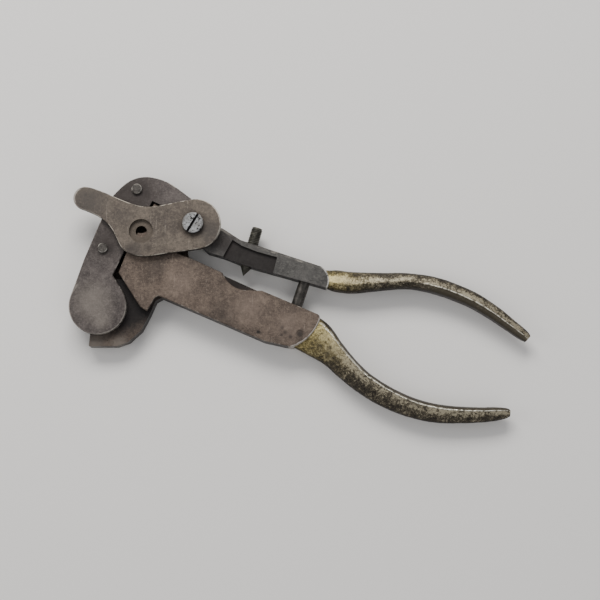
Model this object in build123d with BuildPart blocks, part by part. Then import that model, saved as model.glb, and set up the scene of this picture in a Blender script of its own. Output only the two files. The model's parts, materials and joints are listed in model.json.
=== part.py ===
from build123d import *
import math
import os

# Hand crimping tool, lying flat on its back: X runs along the tool towards the grips,
# Z runs through its thickness, and the origin is on the main pivot's axis at the back face.

# ---- thickness of each layer ----
body_t = 13.0                 # lower handle, back face to front face
wall_back = 3.7               # top of the back wall
wall_front = 9.2              # underside of the front wall
mid_z = (wall_back + wall_front) / 2
foot_top = 9.1                # step that carries the rocker's pivot
rocker_back = 9.3             # underside of the rocker plate
layer_gap = 0.2               # air between layers that slide on each other
arm_back, arm_front = 2.0, 11.0
head_back, head_front = 3.9, 9.0
lever_back, lever_t = 13.15, 3.0
washer_t = 0.4
edge_break = 0.35             # small chamfer on outer edges

# ---- main pivot ----
screw_r = 2.5
fixed_fit = 0.03              # radial gap of a screw or pin in the body that holds it
run_fit = 0.06                # radial gap of a turning or sliding fit
screw_head_r, screw_head_t = 4.8, 1.9
screw_slot_w, screw_slot_angle = 1.15, 59.0
sleeve_r = 3.6
boss_r = 7.8
arm_head_r = 9.0
head_slot_r = 10.3            # space milled for the arm's head
arm_shoulder_r = 9.5          # where the arm's full thickness starts

# ---- rocker ----
lobe = (-44.0, -38.0)         # rocker pivot
lobe_r = 13.3
stud_r, stud_top = 3.2, 12.0
stud_base = 3.0
stud_screw_r = 1.6
stud_head_r, stud_head_t = 3.6, 1.8
drive = (5.6, 4.85)           # drive pin, in the arm's head
drive_r = 1.6
tail_end_r = 3.0
tail_clear_r = 5.4
drive_slot_travel = 1.0
stop_pins = {"upper_stop_pin": (-26.5, 16.6, 2.37), "lower_stop_pin": (-41.9, -11.2, 2.26)}
stop_pin_base, stop_pin_top = 5.0, 14.6

# ---- lever and its work hole ----
work_hole = (-24.0, -3.6)
work_hole_r = 2.65
work_bore_r, work_bore_t = 5.55, 1.6
lever_raise = 8.0             # degrees that bring the hole over the jaws
aperture_r = 3.9

# ---- closing stop screw and guide rod, both square to the arm ----
stop_top, stop_tip = (29.6, -0.7), (22.9, -23.4)
stop_r, stop_cone = 2.65, 4.6
rod_top, rod_tip = (53.1, -22.0), (47.1, -39.7)
rod_r = 2.65

# ---- return spring round the pivot sleeve ----
spring_r, wire_r = 4.9, 0.45
spring_turns, spring_pitch = 1.9, 0.98
spring_z = 4.55
spring_pocket_r, spring_pocket_top = 6.4, 7.2
spring_leg_r = 8.0

# ---- grips: points of the centre line, then (place along it, width, thickness) ----
upper_axis_points = [(59.0, -24.0), (73.0, -26.6), (98.0, -25.8), (123.0, -31.5), (156.2, -53.4)]
upper_sections = [
    (0.00, 9.2, 9.0),
    (0.08, 10.6, 11.0),
    (0.22, 9.0, 11.4),
    (0.40, 7.3, 11.0),
    (0.62, 7.9, 10.0),
    (0.80, 7.2, 8.4),
    (0.93, 5.4, 6.4),
    (1.00, 2.6, 3.6),
]
lower_axis_points = [(52.3, -49.5), (64.7, -59.6), (83.9, -76.8), (109.6, -87.1), (146.6, -87.3)]
lower_sections = [
    (0.00, 18.4, 12.6),
    (0.06, 18.2, 12.8),
    (0.13, 14.0, 12.4),
    (0.27, 10.3, 11.8),
    (0.45, 9.6, 11.0),
    (0.66, 8.4, 10.0),
    (0.84, 6.8, 8.2),
    (0.95, 5.4, 6.2),
    (1.00, 2.6, 3.4),
]
tang_w, tang_t = 4.4, 5.0
grip_pin_r = 1.5
upper_pin_top = 9.6           # the upper grip's pin stops short of the front face

raise_angle = math.degrees(math.atan2(work_hole[1], work_hole[0])) - lever_raise
hole_reach = math.hypot(*work_hole)
aperture = (
    hole_reach * math.cos(math.radians(raise_angle)),
    hole_reach * math.sin(math.radians(raise_angle)),
)

os.makedirs("parts", exist_ok=True)


def write(piece, name):
    piece.part.label = name
    export_step(piece.part, f"parts/{name}.step")


def axis_plane(start, end):
    """Plane at a point of the mid layer, facing along the line from start to end."""
    return Plane(
        origin=(start[0], start[1], mid_z),
        x_dir=(0, 0, 1),
        z_dir=(end[0] - start[0], end[1] - start[1], 0),
    )


def distance(start, end):
    return math.hypot(end[0] - start[0], end[1] - start[1])


def corners(*points):
    """Closed outline of straight runs in the sketch that is being drawn."""
    Polygon(*points, align=None)


def on_front(edge, height, outline_test):
    """True for an edge of the flat face at that height whose middle passes the test."""
    box = edge.bounding_box()
    return box.min.Z > height - 0.01 and outline_test(edge.center())


# ================= lower handle =================
lower_tang_root, lower_tang_end = (61.0, -53.9), (47.3, -49.9)
lower_pin_at = (49.4, -50.8)
jaw_corner = (-34.5, -22.5)
jaw_mouth = (-31.2, -13.8)
jaw_top = (-18.4, 9.7)
shank_corner = (59.2, -42.6)


# fixed jaw, neck to the pivot eye, and the shank as far as the grip's arc
with BuildSketch() as front_wall:
    with BuildLine():
        Polyline(
            (-2.5, 2.9),
            (-9.0, 4.6),
            jaw_top,
            (aperture[0] + 0.6, aperture[1]),
            jaw_mouth,
            jaw_corner,
            (-24.4, -38.3),
            (-21.2, -40.5),
            (-17.7, -34.4),
            (-15.9, -33.3),
            (33.2, -54.4),
            (45.5, -57.1),
        )
        ThreePointArc((45.5, -57.1), (54.2, -51.8), shank_corner)
        Polyline(
            shank_corner,
            (31.6, -30.9),
            (-2.1, -15.5),
            (-7.5, -13.4),
            (-2.0, -7.0),
            (3.3, -1.9),
        )
        ThreePointArc((3.3, -1.9), (2.2, 3.1), (-2.5, 2.9))
    make_face()
    fillet(front_wall.vertices().sort_by_distance(shank_corner)[0], 2.2)


with BuildPart() as lower_body:
    with BuildSketch():
        add(front_wall.sketch)
    extrude(amount=body_t)
    # foot behind the rocker's lobe
    with BuildSketch():
        corners(
            (-47.7, -51.0),
            (-48.2, -56.4),
            (-35.4, -56.4),
            (-30.0, -54.5),
            (-24.2, -49.2),
            (-20.6, -42.4),
            (-17.6, -35.4),
            (-14.0, -33.6),
            (-20.0, -26.0),
            (-38.0, -25.0),
            (-50.0, -30.0),
            (-53.0, -40.0),
        )
    extrude(amount=foot_top)
    # back plate behind the jaws, up to the boss round the main pivot
    with BuildSketch():
        corners(
            (-50.0, -45.0),
            (-52.0, -36.0),
            (-45.5, -14.0),
            (-38.5, 3.0),
            (-31.0, 14.0),
            (-17.0, 15.0),
            (-4.0, 7.0),
            (-3.4, -12.0),
            (-2.6, -16.0),
            (-20.0, -34.0),
        )
        Circle(boss_r)
    extrude(amount=wall_back)
    # slot for the arm's head
    with BuildSketch(Plane.XY.offset(wall_back)):
        Circle(head_slot_r)
        corners((-6.0, 8.0), (-6.0, -8.5), (0.0, -17.0), (25.0, -20.0), (12.0, 14.0))
    extrude(amount=wall_front - wall_back, mode=Mode.SUBTRACT)
    # channel along the shank, open along its upper edge
    with BuildSketch(Plane.XY.offset(wall_back)):
        corners(
            (4.0, -12.0),
            (4.0, -36.5),
            (36.0, -49.6),
            (43.2, -49.9),
            (50.8, -42.4),
            (53.5, -36.0),
        )
    extrude(amount=wall_front - wall_back, mode=Mode.SUBTRACT)
    # dip in the front wall that shows the stop screw's point
    with BuildSketch(Plane.XY.offset(wall_front)):
        with BuildLine():
            ThreePointArc((13.4, -22.0), (18.3, -28.7), (26.2, -30.9))
            Polyline((26.2, -30.9), (33.0, -31.1), (33.0, -20.0), (13.4, -20.0), (13.4, -22.0))
        make_face()
    extrude(amount=body_t - wall_front, mode=Mode.SUBTRACT)
    # fixed half of the jaws' round opening
    with BuildSketch(Plane.XY.offset(wall_back)):
        with Locations(aperture):
            Circle(aperture_r)
    extrude(amount=body_t, mode=Mode.SUBTRACT)
    # inner corner between the jaw's point and the shank
    inner = lower_body.edges().filter_by(Axis.Z).sort_by_distance((-15.9, -33.3, body_t))[0]
    fillet(inner, 1.4)
    worn = lower_body.edges().filter_by(
        lambda edge: on_front(edge, body_t, lambda mid: mid.Y < -14.0)
    )
    chamfer(worn, edge_break)
    # socket for the lower grip's tang
    with BuildSketch(axis_plane(lower_tang_root, lower_tang_end)):
        RectangleRounded(tang_t + 2 * fixed_fit, tang_w + 2 * fixed_fit, 1.0)
    extrude(amount=distance(lower_tang_root, lower_tang_end) + 0.2, mode=Mode.SUBTRACT)
    # holes: main pivot, rocker stud and its screw
    with Locations((0, 0, body_t / 2)):
        Cylinder(screw_r + fixed_fit, body_t, mode=Mode.SUBTRACT)
    with BuildSketch(Plane.XY.offset(stud_base)):
        with Locations(lobe):
            Circle(stud_r + fixed_fit)
    extrude(amount=body_t, mode=Mode.SUBTRACT)
    with BuildSketch():
        with Locations(lobe):
            Circle(stud_screw_r + fixed_fit)
    extrude(amount=stud_base, mode=Mode.SUBTRACT)
    with BuildSketch():
        with Locations(lobe):
            Circle(stud_head_r + fixed_fit)
    extrude(amount=stud_head_t, mode=Mode.SUBTRACT)
    with Locations((lower_pin_at[0], lower_pin_at[1], mid_z)):
        Cylinder(grip_pin_r + fixed_fit, body_t + 2, mode=Mode.SUBTRACT)


def station(axis, place):
    """Plane square to a grip's centre line, with its X along the tool's thickness."""
    return Plane(origin=axis @ place, x_dir=(0, 0, 1), z_dir=axis % place)


with BuildLine() as lower_axis:
    Spline(*[(x, y, mid_z) for x, y in lower_axis_points])

with BuildLine() as upper_axis:
    Spline(*[(x, y, mid_z) for x, y in upper_axis_points])

with BuildPart() as lower_grip:
    for place, width, thickness in lower_sections:
        with BuildSketch(station(lower_axis.line, place)):
            RectangleRounded(thickness, width, 0.42 * min(width, thickness))
    loft()
    with BuildSketch():
        add(front_wall.sketch)
    extrude(amount=body_t, mode=Mode.SUBTRACT)
    with BuildSketch(axis_plane(lower_tang_root, lower_tang_end)):
        RectangleRounded(tang_t, tang_w, 1.0)
    extrude(amount=distance(lower_tang_root, lower_tang_end))
    with Locations((lower_pin_at[0], lower_pin_at[1], mid_z)):
        Cylinder(grip_pin_r + fixed_fit, body_t + 2, mode=Mode.SUBTRACT)

with BuildPart() as lower_grip_pin:
    with Locations((lower_pin_at[0], lower_pin_at[1], 0)):
        Cylinder(grip_pin_r, body_t - 0.3, align=(Align.CENTER, Align.CENTER, Align.MIN))

# ================= upper handle =================
arm_root_top, arm_root_bottom = (13.6, -1.5), (4.5, -10.8)
upper_tang_root, upper_tang_end = (68.0, -25.9), (56.5, -23.66)
upper_pin_at = (59.6, -24.25)


with BuildSketch() as arm_face:
    with BuildLine():
        Polyline((0.0, 4.0), arm_root_top, (21.7, -6.8), (59.1, -19.2))
        ThreePointArc((59.1, -19.2), (62.8, -24.6), (62.0, -29.5))
        Polyline(
            (62.0, -29.5),
            (23.5, -18.7),
            (13.9, -14.9),
            (6.7, -12.7),
            arm_root_bottom,
            (-2.0, -4.0),
            (0.0, 4.0),
        )
    make_face()


with BuildPart() as upper_arm:
    with BuildSketch(Plane.XY.offset(arm_back)):
        add(arm_face.sketch)
        Circle(arm_shoulder_r, mode=Mode.SUBTRACT)
    extrude(amount=arm_front - arm_back)
    # recess milled across the lower part of the front face
    with BuildSketch(Plane.XY.offset(arm_front - 1.3)):
        corners(
            (18.1, -6.9),
            (13.2, -15.8),
            (36.6, -24.0),
            (38.9, -15.1),
            (29.6, -12.5),
            (22.4, -9.7),
        )
    extrude(amount=3.0, mode=Mode.SUBTRACT)
    bevelled = upper_arm.edges().filter_by(
        lambda edge: on_front(edge, arm_front, lambda mid: mid.Y > -13.2 and mid.X < 45)
    ).filter_by(lambda edge: edge.center().Y > -3.0 - 0.33 * (edge.center().X - 10.0))
    chamfer(bevelled, 1.3)
    with BuildSketch(Plane.XY.offset(head_back)):
        add(arm_face.sketch)
        Circle(arm_head_r)
        with Locations(drive):
            Circle(tail_end_r)
    extrude(amount=head_front - head_back)
    # pocket and leg slot for the return spring
    with BuildSketch(Plane.XY.offset(head_back)):
        Circle(spring_pocket_r)
        corners((0.0, 0.0), (8.3, -2.6), (8.2, -4.0), (6.6, -6.2))
    extrude(amount=spring_pocket_top - head_back, mode=Mode.SUBTRACT)
    with Locations((0, 0, mid_z)):
        Cylinder(sleeve_r + run_fit, body_t, mode=Mode.SUBTRACT)
    with BuildSketch(Plane.XY.offset(head_back + 0.8)):
        with Locations(drive):
            Circle(drive_r + fixed_fit)
    extrude(amount=head_front, mode=Mode.SUBTRACT)
    with BuildSketch(axis_plane(stop_top, stop_tip)):
        Circle(stop_r + fixed_fit)
    extrude(amount=distance(stop_top, stop_tip), mode=Mode.SUBTRACT)
    with BuildSketch(axis_plane(rod_top, rod_tip)):
        Circle(rod_r + fixed_fit)
    extrude(amount=distance(rod_top, rod_tip), mode=Mode.SUBTRACT)
    # socket for the upper grip's tang, and its pin's blind hole from the back
    with BuildSketch(axis_plane(upper_tang_root, upper_tang_end)):
        RectangleRounded(tang_t + 2 * fixed_fit, tang_w + 2 * fixed_fit, 1.0)
    extrude(amount=distance(upper_tang_root, upper_tang_end) + 0.2, mode=Mode.SUBTRACT)
    with BuildSketch(Plane.XY.offset(arm_back)):
        with Locations(upper_pin_at):
            Circle(grip_pin_r + fixed_fit)
    extrude(amount=upper_pin_top - arm_back, mode=Mode.SUBTRACT)

with BuildPart() as upper_grip:
    for place, width, thickness in upper_sections:
        with BuildSketch(station(upper_axis.line, place)):
            RectangleRounded(thickness, width, 0.42 * min(width, thickness))
    loft()
    with BuildSketch():
        add(arm_face.sketch)
    extrude(amount=body_t, mode=Mode.SUBTRACT)
    with BuildSketch(axis_plane(upper_tang_root, upper_tang_end)):
        RectangleRounded(tang_t, tang_w, 1.0)
    extrude(amount=distance(upper_tang_root, upper_tang_end))
    with Locations((upper_pin_at[0], upper_pin_at[1], mid_z)):
        Cylinder(grip_pin_r + fixed_fit, body_t + 2, mode=Mode.SUBTRACT)

with BuildPart() as upper_grip_pin:
    with BuildSketch(Plane.XY.offset(arm_back)):
        with Locations(upper_pin_at):
            Circle(grip_pin_r)
    extrude(amount=upper_pin_top - arm_back)

with BuildPart() as drive_pin:
    with BuildSketch(Plane.XY.offset(head_back + 0.8)):
        with Locations(drive):
            Circle(drive_r)
    extrude(amount=12.6 - head_back - 0.8)

with BuildPart() as guide_rod:
    with BuildSketch(axis_plane(rod_top, rod_tip)):
        Circle(rod_r)
    extrude(amount=distance(rod_top, rod_tip))
    chamfer(guide_rod.edges().filter_by(GeomType.CIRCLE), 0.4)

with BuildPart() as stop_screw:
    stop_length = distance(stop_top, stop_tip)
    with BuildSketch(axis_plane(stop_top, stop_tip)):
        Circle(stop_r)
    extrude(amount=stop_length - stop_cone)
    chamfer(stop_screw.edges().filter_by(GeomType.CIRCLE).sort_by(Axis.Y)[-1], 0.4)
    with Locations(axis_plane(stop_tip, stop_top).offset(stop_cone / 2)):
        Cone(0.25, stop_r, stop_cone)

# ================= rocker =================
split_side = [
    (-19.3, 11.1),
    (aperture[0] - 0.6, aperture[1] + 0.3),
    (-32.4, -13.4),
    (-37.2, -23.8),
]
back_edge = [(-50.3, -15.7), (-43.0, 2.1), (-37.3, 14.0)]
hump_end, tail_top = (-5.2, 15.2), (0.2, 11.1)
hump_slope = (tail_top[0] - hump_end[0], tail_top[1] - hump_end[1])


def touch(point, side):
    """Where a line from the point runs tangent into the rocker's lobe."""
    heading = math.atan2(point[1] - lobe[1], point[0] - lobe[0])
    heading += side * math.acos(lobe_r / distance(lobe, point))
    return (lobe[0] + lobe_r * math.cos(heading), lobe[1] + lobe_r * math.sin(heading))


lobe_left = touch(back_edge[0], 1)
lobe_right = touch(split_side[-1], -1)

with BuildPart() as rocker_plate:
    with BuildSketch(Plane.XY.offset(rocker_back)):
        with BuildLine():
            Polyline(lobe_left, *back_edge)
            Spline(
                back_edge[-1],
                (-30.8, 20.0),
                (-22.7, 22.5),
                (-14.2, 20.8),
                hump_end,
                tangents=((1, 1), hump_slope),
            )
            Polyline(hump_end, tail_top, (7.0, 7.5), drive, (-8.6, 6.2), *split_side)
            Line(split_side[-1], lobe_right)
            ThreePointArc(lobe_right, (lobe[0], lobe[1] - lobe_r), lobe_left)
        make_face()
        Circle(tail_clear_r, mode=Mode.SUBTRACT)
        with Locations(drive):
            Circle(tail_end_r)
        with Locations(aperture):
            Circle(aperture_r, mode=Mode.SUBTRACT)
        slot_angle = math.degrees(math.atan2(drive[1] - lobe[1], drive[0] - lobe[0]))
        with Locations(Location((drive[0], drive[1], 0), (0, 0, slot_angle))):
            SlotCenterToCenter(drive_slot_travel, 2 * (drive_r + run_fit), mode=Mode.SUBTRACT)
    extrude(amount=body_t - rocker_back)
    worn = rocker_plate.edges().filter_by(
        lambda edge: on_front(edge, body_t, lambda mid: mid.X < -26.0 or mid.Y > 11.5)
    )
    chamfer(worn, edge_break)
    with BuildSketch(Plane.XY.offset(rocker_back)):
        with Locations(lobe):
            Circle(stud_r + run_fit)
    extrude(amount=stud_top + layer_gap - rocker_back, mode=Mode.SUBTRACT)
    for x, y, radius in stop_pins.values():
        with Locations((x, y, body_t / 2)):
            Cylinder(radius + fixed_fit, 2 * body_t, mode=Mode.SUBTRACT)

with BuildPart() as rocker_jaw:
    with BuildSketch(Plane.XY.offset(head_back)):
        corners(
            *split_side[:3],
            (-34.6, -18.2),
            (-43.0, -17.0),
            (-46.4, -12.0),
            (-39.6, 4.0),
            (-33.0, 16.0),
            (-22.5, 20.0),
        )
        with Locations(aperture):
            Circle(aperture_r, mode=Mode.SUBTRACT)
    extrude(amount=rocker_back - head_back)
    for x, y, radius in stop_pins.values():
        with BuildSketch(Plane.XY.offset(stop_pin_base)):
            with Locations((x, y)):
                Circle(radius + fixed_fit)
        extrude(amount=body_t, mode=Mode.SUBTRACT)


def stop_pin(x, y, radius):
    with Locations((x, y, (stop_pin_base + stop_pin_top) / 2)):
        Cylinder(radius, stop_pin_top - stop_pin_base)


with BuildPart() as upper_stop_pin:
    stop_pin(*stop_pins["upper_stop_pin"])
    chamfer(upper_stop_pin.faces().sort_by(Axis.Z)[-1].edges(), edge_break)

with BuildPart() as lower_stop_pin:
    stop_pin(*stop_pins["lower_stop_pin"])
    chamfer(lower_stop_pin.faces().sort_by(Axis.Z)[-1].edges(), edge_break)

with BuildPart() as rocker_pivot_stud:
    with BuildSketch(Plane.XY.offset(stud_base)):
        with Locations(lobe):
            Circle(stud_r)
    extrude(amount=stud_top - stud_base)
    with BuildSketch(Plane.XY.offset(stud_base)):
        with Locations(lobe):
            Circle(stud_screw_r + fixed_fit)
    extrude(amount=4.2, mode=Mode.SUBTRACT)

with BuildPart() as stud_screw:
    with BuildSketch():
        with Locations(lobe):
            Circle(stud_head_r)
            Rectangle(2 * stud_head_r + 1, 0.9, mode=Mode.SUBTRACT)
    extrude(amount=0.9)
    with BuildSketch(Plane.XY.offset(0.9)):
        with Locations(lobe):
            Circle(stud_head_r)
    extrude(amount=stud_head_t - 0.9)
    with BuildSketch(Plane.XY.offset(stud_head_t)):
        with Locations(lobe):
            Circle(stud_screw_r)
    extrude(amount=5.0)

# ================= lever and main pivot =================
lever_top = lever_back + lever_t
washer_gap = 0.05
head_z = lever_top + washer_gap + washer_t
tab_centre, tab_r = (-50.3, 11.9), 5.3
lever_end, lever_end_r = (1.2, -0.3), 11.7


def rim(centre, radius, turn):
    """Point of a circle at that many degrees."""
    turn = math.radians(turn)
    return (centre[0] + radius * math.cos(turn), centre[1] + radius * math.sin(turn))


def clockwise(turn):
    """Direction in which a circle runs clockwise at that many degrees."""
    return (math.sin(math.radians(turn)), -math.cos(math.radians(turn)))


with BuildPart() as front_lever:
    with BuildSketch(Plane.XY.offset(lever_back)):
        with BuildLine():
            ThreePointArc(*[rim(tab_centre, tab_r, turn) for turn in (250, 165, 80)])
            Spline(
                rim(tab_centre, tab_r, 80),
                (-43.0, 15.2),
                (-31.2, 10.2),
                (-21.5, 7.8),
                (-9.5, 9.6),
                rim(lever_end, lever_end_r, 100),
                tangents=(clockwise(80), clockwise(100)),
            )
            ThreePointArc(*[rim(lever_end, lever_end_r, turn) for turn in (100, 10, -80)])
            Spline(
                rim(lever_end, lever_end_r, -80),
                (-13.8, -14.3),
                (-24.5, -15.3),
                (-32.2, -12.1),
                (-35.8, -5.6),
                (-41.4, 1.7),
                rim(tab_centre, tab_r, 250),
                tangents=(clockwise(-80), clockwise(250)),
            )
        make_face()
    extrude(amount=lever_t)
    chamfer(front_lever.faces().sort_by(Axis.Z)[-1].edges(), edge_break)
    with Locations((0, 0, lever_top)):
        Hole(screw_r + run_fit)
    with Locations((work_hole[0], work_hole[1], lever_top)):
        CounterBoreHole(work_hole_r, work_bore_r, work_bore_t)

with BuildPart() as pivot_screw:
    Cylinder(screw_r, head_z, align=(Align.CENTER, Align.CENTER, Align.MIN))
    with Locations((0, 0, head_z)):
        Cylinder(screw_head_r, screw_head_t, align=(Align.CENTER, Align.CENTER, Align.MIN))
    chamfer(pivot_screw.faces().sort_by(Axis.Z)[-1].edges(), edge_break)
    with Locations(Location((0, 0, head_z + screw_head_t), (0, 0, screw_slot_angle))):
        Box(2 * screw_head_r + 1, screw_slot_w, 2.2, mode=Mode.SUBTRACT)

with BuildPart() as lever_washer:
    with BuildSketch(Plane.XY.offset(lever_top + washer_gap)):
        Circle(screw_head_r - 0.3)
        Circle(screw_r + fixed_fit, mode=Mode.SUBTRACT)
    extrude(amount=washer_t)

with BuildPart() as pivot_sleeve:
    with BuildSketch(Plane.XY.offset(wall_back)):
        Circle(sleeve_r)
        Circle(screw_r + fixed_fit, mode=Mode.SUBTRACT)
    extrude(amount=wall_front - wall_back)

with BuildPart() as return_spring:
    with BuildLine(Plane.XY.offset(spring_z)) as coil:
        Helix(spring_pitch, spring_turns * spring_pitch, spring_r)
    with BuildSketch(Plane(origin=(spring_r, 0, spring_z), z_dir=coil.line % 0)):
        Circle(wire_r)
    sweep(path=coil.line, is_frenet=True)
    leg_angle = 360 * spring_turns
    leg_z = spring_z + spring_turns * spring_pitch
    leg_direction = Vector(1, 0, 0).rotate(Axis.Z, leg_angle)
    leg_start = leg_direction * spring_r + Vector(0, 0, leg_z)
    with BuildSketch(Plane(origin=leg_start, z_dir=leg_direction)):
        Circle(wire_r)
    extrude(amount=spring_leg_r - spring_r)

# ================= files, one for each piece =================
write(lower_body, "lower_body")
write(lower_grip, "lower_grip")
write(lower_grip_pin, "lower_grip_pin")
write(upper_arm, "upper_arm")
write(upper_grip, "upper_grip")
write(upper_grip_pin, "upper_grip_pin")
write(drive_pin, "drive_pin")
write(guide_rod, "guide_rod")
write(stop_screw, "stop_screw")
write(rocker_plate, "rocker_plate")
write(rocker_jaw, "rocker_jaw")
write(upper_stop_pin, "upper_stop_pin")
write(lower_stop_pin, "lower_stop_pin")
write(rocker_pivot_stud, "rocker_pivot_stud")
write(stud_screw, "stud_screw")
write(front_lever, "front_lever")
write(pivot_screw, "pivot_screw")
write(lever_washer, "lever_washer")
write(pivot_sleeve, "pivot_sleeve")
write(return_spring, "return_spring")
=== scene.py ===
import json
import math
import bmesh
import bpy
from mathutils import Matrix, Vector, noise


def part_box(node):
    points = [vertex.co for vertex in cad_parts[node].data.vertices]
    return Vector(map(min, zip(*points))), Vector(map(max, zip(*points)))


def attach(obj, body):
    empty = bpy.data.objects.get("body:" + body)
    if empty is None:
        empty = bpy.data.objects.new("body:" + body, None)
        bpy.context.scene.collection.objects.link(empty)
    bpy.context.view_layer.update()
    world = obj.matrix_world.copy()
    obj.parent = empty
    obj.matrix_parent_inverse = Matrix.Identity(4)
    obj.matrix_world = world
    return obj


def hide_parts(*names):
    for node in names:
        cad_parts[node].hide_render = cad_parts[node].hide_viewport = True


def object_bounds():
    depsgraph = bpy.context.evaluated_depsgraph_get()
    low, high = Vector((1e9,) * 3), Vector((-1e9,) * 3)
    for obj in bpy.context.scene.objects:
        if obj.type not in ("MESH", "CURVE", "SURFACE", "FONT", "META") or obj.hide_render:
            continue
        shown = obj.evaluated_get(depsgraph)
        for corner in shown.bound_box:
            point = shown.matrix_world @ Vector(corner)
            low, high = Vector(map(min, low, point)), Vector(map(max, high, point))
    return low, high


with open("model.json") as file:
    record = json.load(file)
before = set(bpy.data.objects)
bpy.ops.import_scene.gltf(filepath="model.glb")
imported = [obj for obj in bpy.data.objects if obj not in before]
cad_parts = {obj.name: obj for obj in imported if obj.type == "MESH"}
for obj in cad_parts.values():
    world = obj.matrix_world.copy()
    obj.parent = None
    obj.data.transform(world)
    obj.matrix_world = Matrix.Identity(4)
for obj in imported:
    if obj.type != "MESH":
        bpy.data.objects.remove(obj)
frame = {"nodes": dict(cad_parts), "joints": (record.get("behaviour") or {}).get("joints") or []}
cad_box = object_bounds()
nodes = frame["nodes"]
MM = 0.001


# ================= where things are: some read from the frame, the rest given ===
def joint(name):
    return next(j for j in frame["joints"] if j["name"] == name)


MIDDLE = 6.45                           # height of the grips' and the screw's middle, in millimetres
face_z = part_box("lower_body")[1][2]     # front face of the lower handle, in metres

# heights in millimetres between which a material changes
FOOT_TOP = 9.5                          # the foot behind the lobe lies below this
LOW_FACES = (9.35, 9.22)                # faces set back behind the front ones
RECESS = (10.0, 9.8, 9.2, 9.4)          # above and below the floor of the recess in the arm
SLOT_FLOOR = (18.0, 17.7)               # the pivot screw's slot
PIN_STEP = (14.0, 13.4)                 # where the stop pins enter the rocker plate
EVERYWHERE = 99.0                       # above the whole tool

# upward part of a face's normal: it fades in and out over these for chamfers, and out for walls
CHAMFER_LOW, CHAMFER_HIGH = (0.3, 0.6), (0.97, 0.8)
WALL = (0.3, 0.05)

# round ends, as (centre, radius) in millimetres
lobe = ((-44.0, -38.0), 13.3)
tab = ((-50.3, 11.9), 5.3)
lever_end = ((1.2, -0.3), 11.7)


# ================= node trees =================
class Tree:
    """Short names for building one material's nodes."""

    def __init__(self, name, roughness, metallic):
        self.material = bpy.data.materials.new(name)
        self.material.use_nodes = True
        self.nodes = self.material.node_tree.nodes
        self.links = self.material.node_tree.links
        self.shader = self.nodes["Principled BSDF"]
        self.shader.inputs["Metallic"].default_value = metallic
        self.shader.inputs["Roughness"].default_value = roughness
        coord = self.add("ShaderNodeTexCoord")
        self.place = self.scaled(coord.outputs["Object"], (1000, 1000, 1000))
        apart = self.add("ShaderNodeSeparateXYZ")
        self.join(self.place, apart.inputs[0])
        self.height = apart.outputs["Z"]
        self.flat = self.scaled(self.place, (1, 1, 0))
        geometry = self.add("ShaderNodeNewGeometry")
        split = self.add("ShaderNodeSeparateXYZ")
        self.join(geometry.outputs["True Normal"], split.inputs[0])
        self.normal_z = split.outputs["Z"]

    def add(self, kind, **values):
        node = self.nodes.new(kind)
        for key, value in values.items():
            setattr(node, key, value)
        return node

    def join(self, source, target):
        if isinstance(source, (int, float)):
            target.default_value = source
        elif isinstance(source, (tuple, list)):
            target.default_value = source
        else:
            self.links.new(source, target)

    def scaled(self, vector, scale, rotation=(0, 0, 0)):
        node = self.add("ShaderNodeMapping")
        self.join(vector, node.inputs["Vector"])
        node.inputs["Scale"].default_value = scale
        node.inputs["Rotation"].default_value = rotation
        return node.outputs["Vector"]

    def noise(self, scale, detail=4.0, rough=0.55, vector=None, distortion=0.0):
        node = self.add("ShaderNodeTexNoise")
        self.join(vector or self.place, node.inputs["Vector"])
        node.inputs["Scale"].default_value = scale
        node.inputs["Detail"].default_value = detail
        node.inputs["Roughness"].default_value = rough
        node.inputs["Distortion"].default_value = distortion
        return node.outputs["Fac"]

    def cells(self, scale, vector=None):
        node = self.add("ShaderNodeTexVoronoi")
        self.join(vector or self.place, node.inputs["Vector"])
        node.inputs["Scale"].default_value = scale
        return node.outputs["Distance"]

    def ramp(self, value, low, high):
        """0 below low and 1 above high, smoothly. With low above high it falls instead."""
        node = self.add("ShaderNodeMapRange", interpolation_type="SMOOTHSTEP")
        self.join(value, node.inputs["Value"])
        node.inputs["From Min"].default_value = min(low, high)
        node.inputs["From Max"].default_value = max(low, high)
        node.inputs["To Min"].default_value = 0.0 if low < high else 1.0
        node.inputs["To Max"].default_value = 1.0 if low < high else 0.0
        return node.outputs["Result"]

    def math(self, kind, a, b=0.0):
        node = self.add("ShaderNodeMath", operation=kind)
        self.join(a, node.inputs[0])
        self.join(b, node.inputs[1])
        return node.outputs[0]

    def mix(self, amount, a, b):
        node = self.add("ShaderNodeMix", data_type="RGBA")
        self.join(amount, node.inputs[0])
        self.join(a, node.inputs[6])
        self.join(b, node.inputs[7])
        return node.outputs[2]

    def blend(self, amount, a, b):
        node = self.add("ShaderNodeMix", data_type="FLOAT")
        self.join(amount, node.inputs[0])
        self.join(a, node.inputs[2])
        self.join(b, node.inputs[3])
        return node.outputs[0]

    def chamfers(self):
        """1 on faces that slope, 0 on flat faces and upright walls."""
        not_upright = self.ramp(self.normal_z, *CHAMFER_LOW)
        not_flat = self.ramp(self.normal_z, *CHAMFER_HIGH)
        return self.math("MULTIPLY", not_upright, not_flat)

    def attribute(self, name):
        node = self.add("ShaderNodeAttribute", attribute_name=name)
        return node.outputs["Fac"]

    def bump(self, heights):
        """Stacks (height, distance in millimetres) pairs into one bumped normal."""
        normal = None
        for height, distance in heights:
            node = self.add("ShaderNodeBump")
            self.join(height, node.inputs["Height"])
            node.inputs["Distance"].default_value = distance * MM
            node.inputs["Strength"].default_value = 1.0
            if normal:
                self.join(normal, node.inputs["Normal"])
            normal = node.outputs["Normal"]
        self.join(normal, self.shader.inputs["Normal"])


def srgb(red, green, blue):
    """Linear colour of an 8-bit sRGB one."""
    linear = []
    for value in (red, green, blue):
        value /= 255
        linear.append(value / 12.92 if value <= 0.04045 else ((value + 0.055) / 1.055) ** 2.4)
    return (*linear, 1.0)


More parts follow.
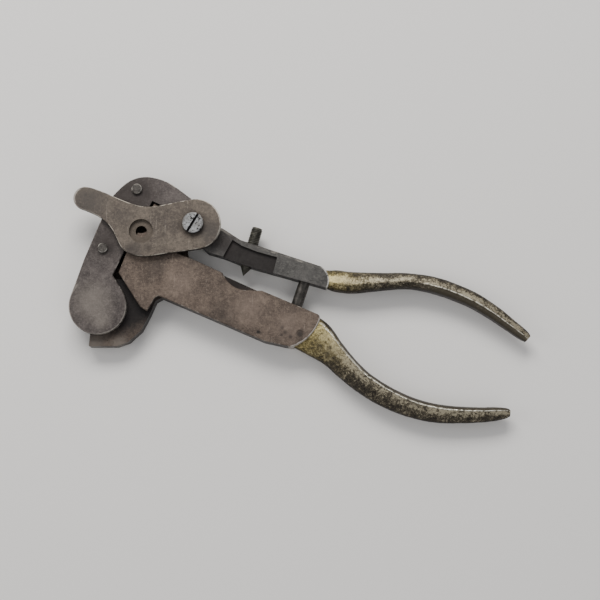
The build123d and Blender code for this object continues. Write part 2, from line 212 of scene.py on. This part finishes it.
def worn_steel(name, dark, base, light, edge, shift=0.0, pits=0.5, scuffs=0.3, wear_and_highlight_range=(0.5, 0.62)):
    """Oxidised steel: faint clouds, fine speckle, pits, hairline scratches, worn edges that also carry a
    painted highlight, and painted shade on the walls and the set-back faces.
    """
    t = Tree(name, 0.5, 0.55)
    deep = tuple(0.6 * value for value in dark[:3]) + (1.0,)
    moved = t.add("ShaderNodeVectorMath", operation="ADD")
    t.join(t.place, moved.inputs[0])
    moved.inputs[1].default_value = (shift * 37.0, shift * 11.0, shift * 5.0)
    spot = moved.outputs[0]
    clouds = t.noise(0.07, 5.0, 0.6, spot, 0.5)
    blotches = t.noise(0.26, 7.0, 0.74, spot, 0.3)
    grain = t.noise(0.85, 6.0, 0.85, spot)
    fine = t.noise(2.4, 4.0, 0.8, spot)
    brushed = t.noise(1.0, 4.0, 0.7, t.scaled(spot, (0.25, 3.0, 1.0), (0, 0, 0.42)))
    hairline = t.noise(1.0, 2.0, 0.5, t.scaled(spot, (2.4, 0.06, 1.0), (0, 0, -0.5)))
    colour = t.mix(t.ramp(clouds, 0.3, 0.72), dark, base)
    colour = t.mix(t.math("MULTIPLY", t.ramp(blotches, 0.48, 0.72), 0.45), colour, light)
    colour = t.mix(t.math("MULTIPLY", t.ramp(blotches, 0.48, 0.3), 0.5), colour, deep)
    colour = t.mix(t.math("MULTIPLY", t.ramp(grain, 0.5, 0.66), 0.6), colour, light)
    colour = t.mix(t.math("MULTIPLY", t.ramp(grain, 0.48, 0.34), 0.7), colour, deep)
    colour = t.mix(t.math("MULTIPLY", t.ramp(fine, 0.5, 0.66), 0.35), colour, light)
    colour = t.mix(t.math("MULTIPLY", t.ramp(brushed, 0.52, 0.68), 0.25), colour, light)
    scratch = t.math("MULTIPLY", t.ramp(hairline, 0.67, 0.7), t.ramp(blotches, 0.45, 0.55))
    colour = t.mix(t.math("MULTIPLY", scratch, scuffs), colour, edge)
    hole = t.ramp(t.cells(0.55, spot), 0.16, 0.08)
    hole = t.math("MULTIPLY", hole, t.ramp(t.noise(0.2, 3.0, 0.5, spot), 0.54, 0.64))
    speck = t.ramp(t.noise(1.5, 2.0, 0.5, spot), 0.7, 0.75)
    pitted = t.math("MULTIPLY", t.math("MAXIMUM", hole, speck), pits)
    colour = t.mix(pitted, colour, srgb(26, 22, 20))
    # the chamfers are the only faces that slope; they are lightened partly as worn edges and partly as a
    # painted highlight of the light they catch
    sloped = t.chamfers()
    worn = t.ramp(t.noise(0.16, 5.0, 0.75, spot), *wear_and_highlight_range)
    wear_and_highlight = t.math("MULTIPLY", sloped, worn)
    colour = t.mix(wear_and_highlight, colour, edge)
    # painted shade: side walls and the faces set back below the front faces are darkened
    side = t.ramp(t.math("ABSOLUTE", t.normal_z), *WALL)
    low = t.math("MULTIPLY", t.ramp(t.height, *LOW_FACES), t.ramp(t.normal_z, 0.2, 0.6))
    wall_and_recess_shade = t.math("MAXIMUM", t.math("MULTIPLY", side, 0.8), t.math("MULTIPLY", low, 0.45))
    colour = t.mix(wall_and_recess_shade, colour, srgb(30, 26, 25))
    t.join(colour, t.shader.inputs["Base Color"])
    rough = t.blend(t.ramp(blotches, 0.35, 0.7), 0.42, 0.6)
    rough = t.blend(wear_and_highlight, rough, 0.28)
    t.join(t.blend(pitted, rough, 0.8), t.shader.inputs["Roughness"])
    t.bump([
        (fine, 0.02),
        (grain, 0.05),
        (blotches, 0.07),
        (t.math("SUBTRACT", 1.0, pitted), 0.14),
        (t.math("SUBTRACT", 1.0, scratch), 0.02),
    ])
    return t


def dark_steel(name, base, light, scale=1.0, roughness=0.4, metallic=0.85):
    """Dark oiled steel with a fine turned grain."""
    t = Tree(name, roughness, metallic)
    clouds = t.noise(0.4 * scale, 5.0, 0.65)
    grain = t.noise(3.5 * scale, 3.0, 0.7)
    colour = t.mix(t.ramp(clouds, 0.4, 0.68), base, light)
    colour = t.mix(t.math("MULTIPLY", t.ramp(grain, 0.56, 0.75), 0.4), colour, light)
    t.join(colour, t.shader.inputs["Base Color"])
    t.join(t.blend(clouds, roughness - 0.1, roughness + 0.15), t.shader.inputs["Roughness"])
    t.bump([(grain, 0.03), (clouds, 0.05)])
    return t


def bright_screw(name):
    """Nickel-bright screw head with clustered dark pits and fine scratches; painted shade makes its sides
    and the floor of its slot near black.
    """
    t = Tree(name, 0.3, 0.9)
    clouds = t.noise(0.42, 5.0, 0.6)
    speck = t.noise(1.0, 5.0, 0.7)
    hole = t.math("MULTIPLY", t.ramp(speck, 0.53, 0.58), t.ramp(clouds, 0.44, 0.52))
    lines = t.ramp(t.noise(1.0, 2.0, 0.5, t.scaled(t.place, (6.0, 0.3, 1.0), (0, 0, 0.9))), 0.6, 0.7)
    colour = t.mix(t.ramp(clouds, 0.3, 0.6), srgb(142, 139, 134), srgb(196, 195, 192))
    colour = t.mix(t.math("MULTIPLY", t.ramp(speck, 0.42, 0.56), 0.35), colour, srgb(118, 114, 108))
    colour = t.mix(t.math("MULTIPLY", lines, 0.35), colour, srgb(96, 92, 87))
    colour = t.mix(hole, colour, srgb(38, 33, 30))
    # painted shade: the head's sides and the floor of its slot are made near black
    side = t.ramp(t.math("ABSOLUTE", t.normal_z), 0.5, 0.2)
    shaded_slot_floor = t.ramp(t.height, *SLOT_FLOOR)
    colour = t.mix(t.math("MAXIMUM", side, shaded_slot_floor), colour, srgb(18, 16, 14))
    t.join(colour, t.shader.inputs["Base Color"])
    shade = t.math("MAXIMUM", hole, shaded_slot_floor)
    t.join(t.blend(shade, 0.32, 0.8), t.shader.inputs["Roughness"])
    t.join(t.blend(shaded_slot_floor, 0.9, 0.2), t.shader.inputs["Metallic"])
    t.bump([(t.math("SUBTRACT", 1.0, hole), 0.14), (speck, 0.05)])
    return t.material


def pin_metal(name):
    """Steel pins: dull grey face inside a thin rim lightened partly as wear and partly as a painted
    highlight, with painted shade on the sides and where the pins enter the rocker plate.
    """
    t = Tree(name, 0.42, 0.6)
    clouds = t.noise(0.8, 5.0, 0.6)
    grain = t.noise(2.6, 4.0, 0.75)
    sloped = t.chamfers()
    sloped = t.math("MULTIPLY", sloped, t.ramp(t.noise(0.35, 3.0, 0.6), 0.4, 0.58))
    colour = t.mix(t.ramp(clouds, 0.35, 0.68), srgb(56, 52, 48), srgb(90, 85, 79))
    colour = t.mix(t.math("MULTIPLY", t.ramp(grain, 0.54, 0.72), 0.4), colour, srgb(118, 112, 104))
    colour = t.mix(t.math("MULTIPLY", t.ramp(grain, 0.44, 0.32), 0.5), colour, srgb(50, 46, 42))
    # the rim on the chamfer: partly wear, partly a painted highlight
    colour = t.mix(sloped, colour, srgb(172, 166, 156))
    # painted shade on the sides and where the pins enter the rocker plate
    side = t.ramp(t.math("ABSOLUTE", t.normal_z), *WALL)
    low = t.ramp(t.height, *PIN_STEP)
    colour = t.mix(t.math("MAXIMUM", t.math("MULTIPLY", side, 0.85), low), colour, srgb(34, 30, 28))
    t.join(colour, t.shader.inputs["Base Color"])
    t.join(t.blend(sloped, 0.46, 0.28), t.shader.inputs["Roughness"])
    t.bump([(grain, 0.05), (clouds, 0.06)])
    return t.material


def grip_metal(name, crest_start, crest_end, crest_from, shift=0.0):
    """Gold-coloured plating over a dark casting: bright by the steel, worn to specks at the tip.

    The ridge, lightened by a painted highlight, lies at crest_start across the grip by the steel and at
    crest_end at the tip, where 0 is the middle and 1 the inner edge, and it shows from crest_from along the
    grip.
    A painted sheen lies beside the ridge and painted shade darkens the flanks."""
    t = Tree(name, 0.45, 0.7)
    moved = t.add("ShaderNodeVectorMath", operation="ADD")
    t.join(t.place, moved.inputs[0])
    moved.inputs[1].default_value = (shift, shift * 0.3, 0.0)
    spot = moved.outputs[0]
    along = t.attribute("along")
    off = t.math("SUBTRACT", t.attribute("across"), t.blend(along, crest_start, crest_end))
    off = t.math("ADD", off, t.math("MULTIPLY", t.math("SUBTRACT", t.noise(0.25, 3.0, 0.6, spot), 0.5), 0.2))
    shown = t.ramp(along, crest_from, crest_from + 0.15)
    ridge = t.math("MULTIPLY", t.ramp(t.math("ABSOLUTE", off), 0.13, 0.02), shown)
    inner = t.math("MULTIPLY", t.ramp(off, 0.03, 0.14), shown)
    speck = t.noise(1.15, 7.0, 0.82, spot, 0.3)
    clouds = t.noise(0.11, 5.0, 0.6, spot)
    patches = t.noise(0.3, 6.0, 0.75, spot, 0.4)
    fine = t.noise(2.6, 4.0, 0.8, spot)
    gilt = t.math("MULTIPLY", t.ramp(along, 0.36, 0.02), t.ramp(clouds, 0.25, 0.5))
    ground = t.mix(gilt, srgb(64, 57, 46), srgb(134, 120, 76))
    chips = t.mix(gilt, srgb(160, 150, 126), srgb(186, 170, 114))
    # painted sheen: light chips crowd a strip beside the ridge and are fewest on the outer flank
    highlight_band = t.ramp(t.math("ABSOLUTE", t.math("ADD", off, 0.34)), 0.62, 0.1)
    worn = t.math("ADD", speck, t.math("MULTIPLY", t.math("SUBTRACT", patches, 0.5), 0.7))
    worn = t.math("ADD", worn, t.math("MULTIPLY", t.math("SUBTRACT", highlight_band, 0.62), 0.11))
    worn = t.math("ADD", worn, t.math("MULTIPLY", gilt, 0.04))
    colour = t.mix(t.ramp(worn, 0.47, 0.58), ground, chips)
    colour = t.mix(t.math("MULTIPLY", t.ramp(fine, 0.5, 0.66), 0.5), colour, chips)
    colour = t.mix(t.math("MULTIPLY", t.ramp(fine, 0.47, 0.34), 0.6), colour, srgb(40, 35, 29))
    dark = t.math("MULTIPLY", t.ramp(worn, 0.44, 0.34), 0.85)
    colour = t.mix(dark, colour, srgb(30, 26, 22))
    stained = t.math("MULTIPLY", t.ramp(t.noise(0.2, 5.0, 0.7, spot), 0.53, 0.64), 0.6)
    colour = t.mix(stained, colour, srgb(52, 46, 38))
    colour = t.mix(t.math("MULTIPLY", inner, 0.8), colour, srgb(80, 73, 60))
    # painted highlight along the ridge, broken up by noise
    broken = t.ramp(t.noise(0.6, 6.0, 0.8, spot), 0.4, 0.54)
    wear_and_highlight = t.math("MULTIPLY", t.ramp(ridge, 0.35, 0.9), broken)
    colour = t.mix(wear_and_highlight, colour, srgb(212, 206, 188))
    # painted shade on the flanks
    side = t.ramp(t.math("ABSOLUTE", t.normal_z), 0.75, 0.3)
    colour = t.mix(t.math("MULTIPLY", side, 0.85), colour, srgb(32, 27, 22))
    t.join(colour, t.shader.inputs["Base Color"])
    rough = t.blend(t.ramp(worn, 0.46, 0.64), 0.6, 0.36)
    rough = t.blend(inner, rough, 0.42)
    t.join(t.blend(wear_and_highlight, rough, 0.28), t.shader.inputs["Roughness"])
    smooth = t.math("SUBTRACT", 1.0, t.math("MULTIPLY", inner, 0.8))
    t.bump([
        (t.math("MULTIPLY", speck, smooth), 0.22),
        (t.math("MULTIPLY", fine, smooth), 0.07),
    ])
    return t.material


def dress(node, material):
    """Puts the material on every face of a CAD node."""
    slots = nodes[node].material_slots
    if not slots:
        nodes[node].data.materials.append(material)
    for slot in slots:
        slot.material = material


# ================= the CAD nodes that show as they are =================
brown = worn_steel(
    "brown_steel",
    srgb(72, 61, 53), srgb(99, 85, 74), srgb(134, 118, 103), srgb(176, 164, 150), 1.0, 0.8,
)
tan = worn_steel(
    "lever_steel",
    srgb(76, 68, 61), srgb(102, 92, 81), srgb(130, 118, 104), srgb(196, 186, 170), 2.0, 0.5,
    wear_and_highlight_range=(0.42, 0.56),
)
mauve = worn_steel(
    "rocker_steel",
    srgb(62, 55, 52), srgb(84, 76, 72), srgb(114, 106, 100), srgb(168, 160, 150), 3.0, 0.6,
)
grey = worn_steel(
    "grey_steel",
    srgb(62, 60, 57), srgb(84, 81, 77), srgb(112, 108, 102), srgb(128, 123, 115), 4.0, 0.6,
)


def spot_mask(t, at, radius, soft):
    """1 inside a round spot of the front face, 0 outside, with a ragged soft edge."""
    offset = t.add("ShaderNodeVectorMath", operation="DISTANCE")
    t.join(t.flat, offset.inputs[0])
    offset.inputs[1].default_value = (at[0], at[1], 0)
    ragged = t.math("SUBTRACT", t.noise(0.9, 4.0, 0.7), 0.5)
    reach = t.math("ADD", offset.outputs["Value"], t.math("MULTIPLY", ragged, soft * 1.6))
    return t.ramp(reach, radius + soft, radius - soft)


def stain_and_shade(t, spots, colour, strength, under=EVERYWHERE):
    """Paints spots of (x, y, radius, softness) in millimetres on faces lower than under: stains, and in some
    places painted shade.
    """
    target = t.shader.inputs["Base Color"]
    current = target.links[0].from_socket
    for x, y, radius, soft in spots:
        mask = t.math("MULTIPLY", spot_mask(t, (x, y), radius, soft), strength)
        mask = t.math("MULTIPLY", mask, t.math("LESS_THAN", t.height, under))
        current = t.mix(mask, current, colour)
    t.join(current, target)


def paint_rim_highlight(t, centre, radius, width, toward, colour, strength):
    """Paints a highlight on the rim of a round end, on the side that faces toward, with ragged gaps."""
    offset = t.add("ShaderNodeVectorMath", operation="SUBTRACT")
    t.join(t.flat, offset.inputs[0])
    offset.inputs[1].default_value = (centre[0], centre[1], 0)
    length = t.add("ShaderNodeVectorMath", operation="LENGTH")
    t.join(offset.outputs[0], length.inputs[0])
    facing = t.add("ShaderNodeVectorMath", operation="DOT_PRODUCT")
    t.join(offset.outputs[0], facing.inputs[0])
    facing.inputs[1].default_value = (toward[0] / radius, toward[1] / radius, 0)
    ragged = t.math("MULTIPLY", t.math("SUBTRACT", t.noise(0.8, 4.0, 0.7), 0.5), width)
    inward = t.math("ADD", t.math("SUBTRACT", radius, length.outputs["Value"]), ragged)
    mask = t.ramp(inward, width + 0.15, width - 0.1)
    mask = t.math("MULTIPLY", mask, t.ramp(facing.outputs["Value"], 0.45, 0.8))
    mask = t.math("MULTIPLY", mask, t.ramp(inward, -0.8, -0.5))
    mask = t.math("MULTIPLY", mask, t.ramp(t.noise(0.22, 4.0, 0.7), 0.36, 0.5))
    target = t.shader.inputs["Base Color"]
    current = target.links[0].from_socket
    t.join(t.mix(t.math("MULTIPLY", mask, strength), current, colour), target)


def paint_recess_shade(t, colour, strength):
    """Paints shade on the floor of the recess milled in the arm."""
    above, top, bottom, below = RECESS
    floor = t.math("MULTIPLY", t.ramp(t.height, above, top), t.ramp(t.height, bottom, below))
    target = t.shader.inputs["Base Color"]
    t.join(t.mix(t.math("MULTIPLY", floor, strength), target.links[0].from_socket, colour), target)


def circle_through(a, b, c):
    """Centre and radius of the circle through three points."""
    turn = 2 * (a[0] * (b[1] - c[1]) + b[0] * (c[1] - a[1]) + c[0] * (a[1] - b[1]))
    squares = [point[0] ** 2 + point[1] ** 2 for point in (a, b, c)]
    x = (squares[0] * (b[1] - c[1]) + squares[1] * (c[1] - a[1]) + squares[2] * (a[1] - b[1])) / turn
    y = (squares[0] * (c[0] - b[0]) + squares[1] * (a[0] - c[0]) + squares[2] * (b[0] - a[0])) / turn
    return (x, y), math.hypot(a[0] - x, a[1] - y)


shank_arc = circle_through((45.5, -57.1), (54.2, -51.8), (59.2, -42.6))
arm_arc = circle_through((59.1, -19.2), (62.8, -24.6), (62.0, -29.5))
# painted highlights on the rims of the round ends
paint_rim_highlight(brown, *shank_arc, 0.6, (0.8, -0.6), srgb(182, 174, 164), 0.85)
paint_rim_highlight(grey, *arm_arc, 0.5, (0.97, 0.1), srgb(186, 182, 174), 0.95)
paint_rim_highlight(tan, *lever_end, 0.5, (0.94, 0.2), srgb(206, 198, 184), 0.75)
paint_rim_highlight(tan, *tab, 0.8, (-0.95, 0.3), srgb(196, 188, 176), 0.85)
paint_rim_highlight(mauve, *lobe, 0.4, (0.7, -0.7), srgb(168, 160, 150), 0.6)
paint_rim_highlight(mauve, *lobe, 0.4, (-0.98, -0.1), srgb(150, 142, 132), 0.6)
# dirt over the lower grip's pin, and one pit further along the body
stain_and_shade(brown, [(49.3, -50.9, 1.5, 1.0), (30.3, -50.2, 0.8, 0.4)], srgb(30, 26, 24), 0.9)
# the foot: painted shadow beside the lobe, and bare metal at its edge
stain_and_shade(brown, [(-34.0, -36.0, 14.0, 4.0), (-22.0, -40.0, 4.0, 4.0)], srgb(20, 16, 15), 0.92, FOOT_TOP)
stain_and_shade(brown, [(-46.0, -55.0, 4.0, 5.0), (-34.0, -55.5, 3.0, 3.0)], srgb(112, 104, 95), 0.6, FOOT_TOP)
# casting pits by the pin
stain_and_shade(
    brown,
    [(41.4, -48.2, 0.7, 0.6), (42.6, -50.4, 0.8, 0.7), (41.0, -51.6, 0.6, 0.5), (45.0, -52.4, 0.7, 0.6)],
    srgb(32, 27, 25), 0.9,
)
# painted shade on the floor of the channel between the walls
stain_and_shade(brown, [(23.0, -26.0, 12.0, 2.0)], srgb(34, 28, 26), 0.85, FOOT_TOP)
# handling: dark and light patches on the body, the lever and the rocker plate
stain_and_shade(
    brown,
    [(0.0, -17.0, 3.0, 4.0), (-17.0, -20.0, 4.0, 5.0), (14.0, -43.0, 5.0, 6.0)],
    srgb(62, 54, 48), 0.5,
)
stain_and_shade(
    brown,
    [(-6.0, -27.0, 5.0, 6.0), (26.0, -39.0, 6.0, 7.0), (44.0, -46.0, 5.0, 6.0)],
    srgb(146, 128, 114), 0.35,
)
stain_and_shade(
    tan,
    [(-13.5, -5.4, 1.1, 0.7), (-20.6, -11.9, 1.6, 1.2), (-29.0, -12.0, 2.0, 1.6)],
    srgb(64, 57, 51), 0.6,
)
# painted shade in a disc round the pivot at the lever's round end
stain_and_shade(tan, [(0.0, -0.6, 6.4, 2.0)], srgb(56, 48, 41), 0.7)
stain_and_shade(tan, [(-48.0, 11.0, 8.0, 6.0), (8.5, -4.0, 5.0, 4.0)], srgb(66, 61, 57), 0.65)
stain_and_shade(tan, [(-33.0, 3.0, 3.0, 4.0), (-27.0, -12.5, 4.0, 3.0)], srgb(64, 58, 54), 0.5)
stain_and_shade(tan, [(-24.0, -3.6, 5.5, 0.6)], srgb(84, 74, 63), 0.6)
stain_and_shade(mauve, [(-22.6, 15.2, 2.4, 2.2), (-38.6, -11.8, 2.2, 2.0)], srgb(44, 38, 36), 0.7)
stain_and_shade(mauve, [(-30.0, 14.0, 12.0, 8.0), (-40.0, -8.0, 6.0, 6.0)], srgb(52, 45, 41), 0.75)
stain_and_shade(mauve, [(-46.0, -36.0, 7.0, 6.0), (-42.0, -45.0, 3.0, 4.0)], srgb(136, 127, 117), 0.5)
# painted shade on the floor of the arm's recess
paint_recess_shade(grey, srgb(24, 17, 14), 0.85)
# painted shadow of the lever's end on the arm
stain_and_shade(grey, [(14.0, -8.0, 5.0, 4.0)], srgb(44, 37, 34), 0.75)

oiled = dark_steel("dark_steel", srgb(30, 26, 25), srgb(56, 51, 47)).material
rod_finish = dark_steel("rod_steel", srgb(60, 57, 53), srgb(90, 85, 79), 0.8, 0.28, 0.75).material
spring_finish = dark_steel("spring_steel", srgb(62, 60, 56), srgb(112, 108, 100), 1.4, 0.35).material
pins = pin_metal("pin_steel")

dress("lower_body", brown.material)
dress("front_lever", tan.material)
dress("rocker_plate", mauve.material)
dress("upper_arm", grey.material)
dress("rocker_jaw", oiled)
dress("rocker_pivot_stud", oiled)
dress("stud_screw", oiled)
dress("pivot_sleeve", oiled)
dress("guide_rod", rod_finish)
dress("return_spring", spring_finish)
dress("lever_washer", spring_finish)
dress("pivot_screw", bright_screw("bright_steel"))
dress("lower_grip_pin", brown.material)
for pin in ("upper_stop_pin", "lower_stop_pin", "drive_pin", "upper_grip_pin"):
    dress(pin, pins)


# ================= meshes made of rings =================
def skin(bm, loops):
    """Joins closed rings of vertices by quads and closes both ends."""
    count = len(loops[0])
    for one, two in zip(loops, loops[1:]):
        for k in range(count):
            after = (k + 1) % count
            bm.faces.new((one[k], one[after], two[after], two[k]))
    bm.faces.new(list(reversed(loops[0])))
    bm.faces.new(loops[-1])
    bmesh.ops.recalc_face_normals(bm, faces=bm.faces)


def finished_object(name, bm, material):
    """Turns the mesh being edited into an object in the scene."""
    mesh = bpy.data.meshes.new(name)
    bm.to_mesh(mesh)
    bm.free()
    piece = bpy.data.objects.new(name, mesh)
    bpy.context.scene.collection.objects.link(piece)
    mesh.materials.append(material)
    return piece


# ================= grips =================
def spline_point(points, place):
    """Catmull-Rom point at place 0..1 along evenly numbered points of any length."""
    count = len(points) - 1
    index = min(int(place * count), count - 1)
    t = place * count - index
    p1, p2 = points[index], points[index + 1]
    p0 = points[index - 1] if index > 0 else [2 * a - b for a, b in zip(p1, p2)]
    p3 = points[index + 2] if index + 2 <= count else [2 * b - a for a, b in zip(p1, p2)]
    result = []
    for a, b, c, d in zip(p0, p1, p2, p3):
        result.append(
            0.5 * (2 * b + (c - a) * t + (2 * a - 5 * b + 4 * c - d) * t * t
                   + (3 * b - a - 3 * c + d) * t ** 3)
        )
    return result


SQUARENESS = 0.84       # below 1 the section is fuller than an ellipse
LEAN = 0.30             # how far the section's crown shifts towards the inner edge
CREST_WIDTH = 0.14
CREST_RISE = 0.055
PIT_OFFSET = Vector((7, 3, 1))


def build_grip(name, stations, inner_side, crest_ends, rings, spokes, material, node):
    """Bowed casting along stations of (x, y, width, thickness) in millimetres.

    inner_side is +1 where the other handle lies on the left of the grip's direction, else -1.
    A low ridge runs along it, and the metal slopes away from the ridge on both sides."""
    crest_start, crest_end = crest_ends
    bm = bmesh.new()
    layers = {key: bm.verts.layers.float.new(key) for key in ("along", "across")}
    loops = []
    for ring in range(rings + 1):
        place = ring / rings
        x, y, width, thick = spline_point(stations, place)
        ahead = spline_point(stations, min(place + 0.004, 1.0))
        behind = spline_point(stations, max(place - 0.004, 0.0))
        run = Vector((ahead[0] - behind[0], ahead[1] - behind[1])).normalized()
        left = Vector((-run.y, run.x)) * inner_side
        loop = []
        for spoke in range(spokes):
            turn = 2 * math.pi * spoke / spokes
            across, up = math.cos(turn), math.sin(turn)
            across = math.copysign(abs(across) ** SQUARENESS, across)
            up = math.copysign(abs(up) ** SQUARENESS, up)
            shifted = across + LEAN * (1 - across * across)
            crest_at = crest_start + (crest_end - crest_start) * place
            crest = math.exp(-(((shifted - crest_at) / CREST_WIDTH) ** 2))
            height = up * (1 + CREST_RISE * crest) * (0.93 + 0.07 * (1 - abs(across)))
            point = Vector((
                x + left.x * shifted * width / 2,
                y + left.y * shifted * width / 2,
                MIDDLE + height * thick / 2,
            ))
            rough = noise.noise(point * 0.9) * 0.05 + noise.noise(point * 0.25) * 0.10
            pit = max(0.0, noise.noise(point * 0.55 + PIT_OFFSET) - 0.38) * 0.5
            outward = Vector((left.x * across, left.y * across, up)).normalized()
            vert = bm.verts.new((point + outward * (rough - pit)) * MM)
            vert[layers["along"]] = place
            vert[layers["across"]] = shifted
            loop.append(vert)
        loops.append(loop)
    skin(bm, loops)
    for face in bm.faces:
        face.smooth = True
    grip = finished_object(name, bm, material)
    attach(grip, "upper_handle" if node == "upper_grip" else "lower_handle")
    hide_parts(node)


upper_stations = [
    (60.0, -24.2, 7.2, 7.4),
    (62.6, -24.9, 8.6, 8.4),
    (66.5, -25.7, 10.0, 10.0),
    (73.4, -26.5, 10.0, 11.3),
    (82.0, -26.3, 8.9, 11.4),
    (90.3, -25.9, 8.0, 11.2),
    (98.6, -25.7, 7.4, 11.0),
    (106.8, -26.6, 7.6, 10.6),
    (115.0, -28.6, 7.8, 10.2),
    (123.2, -31.6, 7.7, 9.8),
    (131.5, -35.5, 7.5, 9.2),
    (139.8, -40.8, 6.9, 8.4),
    (147.6, -46.7, 6.1, 7.2),
    (153.2, -51.0, 5.2, 5.9),
    (155.3, -52.9, 3.9, 4.4),
]
lower_stations = [
    (50.5, -49.0, 17.6, 11.8),
    (54.5, -51.0, 17.8, 12.0),
    (58.3, -53.8, 17.0, 12.3),
    (64.8, -59.8, 12.9, 12.5),
    (70.5, -65.8, 11.5, 12.1),
    (76.7, -71.5, 10.5, 11.7),
    (84.2, -76.8, 10.1, 11.3),
    (92.1, -81.1, 9.7, 11.0),
    (100.7, -84.6, 9.2, 10.6),
    (109.6, -86.9, 8.8, 10.2),
    (118.6, -87.9, 8.1, 9.7),
    (131.4, -88.1, 7.1, 8.6),
    (139.6, -87.6, 6.3, 7.6),
    (144.6, -87.3, 4.8, 5.8),
    (146.4, -87.4, 3.0, 3.8),
]
rings = 340
spokes = 96
# the ridge's place across the grip, by the steel and at the tip
upper_crest = (0.35, 0.12)
lower_crest = (0.80, 0.42)
upper_finish = grip_metal("grip_gold", *upper_crest, 0.42)
lower_finish = grip_metal("grip_gold_low", *lower_crest, 0.0, 40.0)
build_grip("upper_grip_casting", upper_stations, -1, upper_crest, rings, spokes, upper_finish, "upper_grip")
build_grip("lower_grip_casting", lower_stations, 1, lower_crest, rings, spokes, lower_finish, "lower_grip")


# ================= stop screw with its thread =================
def build_stop_screw():
    """Cone-point screw: a helical thread over its whole length, dying out on the cone."""
    slide = Vector(joint("stop_screw_travel")["axis"])
    low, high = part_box("stop_screw")
    radius = (high[2] - low[2]) / 2
    bevel, point_r = 0.4 * MM, 0.25 * MM
    across = Vector((-slide.y, slide.x, 0))
    top = Vector((
        high[0] + bevel * abs(slide.x) - radius * abs(slide.y),
        high[1] - (radius - bevel) * abs(slide.x),
        MIDDLE * MM,
    ))
    reach = (top.y - low[1] - point_r * abs(slide.x)) / abs(slide.y)
    pitch, depth, cone, lead_in = 0.8 * MM, 0.32 * MM, 4.4 * MM, 0.9 * MM
    thread_sharpness, lead_in_size = 2.6, 0.86
    rows = 420
    spokes = 48
    bm = bmesh.new()
    loops = []
    for row in range(rows + 1):
        s = reach * row / rows
        loop = []
        for spoke in range(spokes):
            turn = 2 * math.pi * spoke / spokes
            wave = (s / pitch - spoke / spokes) % 1.0
            groove = min(1.0, abs(wave - 0.5) * thread_sharpness)
            taper = min(1.0, max(0.05, (reach - s) / cone))
            edge = min(1.0, lead_in_size + s / lead_in * (1 - lead_in_size))
            r = min(radius - depth * (1 - groove), radius * taper) * edge
            point = top + slide * s + across * (r * math.cos(turn)) + Vector((0, 0, r * math.sin(turn)))
            loop.append(bm.verts.new(point))
        loops.append(loop)
    skin(bm, loops)
    for face in bm.faces:
        face.smooth = len(face.verts) == 4
    finish = dark_steel("screw_steel", srgb(62, 60, 54), srgb(100, 97, 87), 1.2, 0.36, 0.7).material
    screw = finished_object("stop_screw_threaded", bm, finish)
    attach(screw, "closing_stop")
    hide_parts("stop_screw")


build_stop_screw()


# ================= floor, light and camera =================
def build_floor():
    mesh = bpy.data.meshes.new("floor")
    size = 3.0
    gap = 0.1 * MM
    low = cad_box[0][2] - gap
    mesh.from_pydata(
        [(-size, -size, low), (size, -size, low), (size, size, low), (-size, size, low)],
        [],
        [(0, 1, 2, 3)],
    )
    floor = bpy.data.objects.new("floor", mesh)
    bpy.context.scene.collection.objects.link(floor)
    material = bpy.data.materials.new("pale_floor")
    material.use_nodes = True
    shader = material.node_tree.nodes["Principled BSDF"]
    shader.inputs["Base Color"].default_value = srgb(232, 228, 222)
    shader.inputs["Roughness"].default_value = 0.85
    mesh.materials.append(material)


def area_light(name, place, target, size, power):
    light = bpy.data.lights.new(name, "AREA")
    light.shape = "RECTANGLE"
    light.size, light.size_y = size
    light.energy = power
    lamp = bpy.data.objects.new(name, light)
    bpy.context.scene.collection.objects.link(lamp)
    lamp.location = place
    lamp.rotation_euler = (Vector(target) - Vector(place)).to_track_quat("-Z", "Y").to_euler()


centre = Vector([(cad_box[0][i] + cad_box[1][i]) / 2 for i in range(3)])
build_floor()
area_light("key", centre + Vector((-0.15, 0.75, 0.75)), centre, (0.8, 0.4), 12.0)
area_light("fill", centre + Vector((0.5, -0.5, 0.9)), centre, (0.8, 0.8), 1.6)
area_light("left", centre + Vector((-0.8, 0.0, 0.5)), centre, (0.5, 0.6), 2.0)

world = bpy.data.worlds.new("studio")
world.use_nodes = True
world.node_tree.nodes["Background"].inputs["Color"].default_value = (0.9, 0.93, 1.0, 1.0)
world.node_tree.nodes["Background"].inputs["Strength"].default_value = 0.45
bpy.context.scene.world = world

# near-frontal, a little from the lower handle's side; lengths in metres, the lens in millimetres
tilt = math.radians(7.0)
distance = 0.64
aim = Vector((0.0495, -0.0354, face_z))
sensor, lens = 36.0, 83.2
camera_data = bpy.data.cameras.new("camera")
camera_data.sensor_width = sensor
camera_data.lens = lens
camera = bpy.data.objects.new("camera", camera_data)
bpy.context.scene.collection.objects.link(camera)
camera.location = aim + Vector((0, -math.sin(tilt), math.cos(tilt))) * distance
camera.rotation_euler = (tilt, 0, 0)
bpy.context.scene.camera = camera
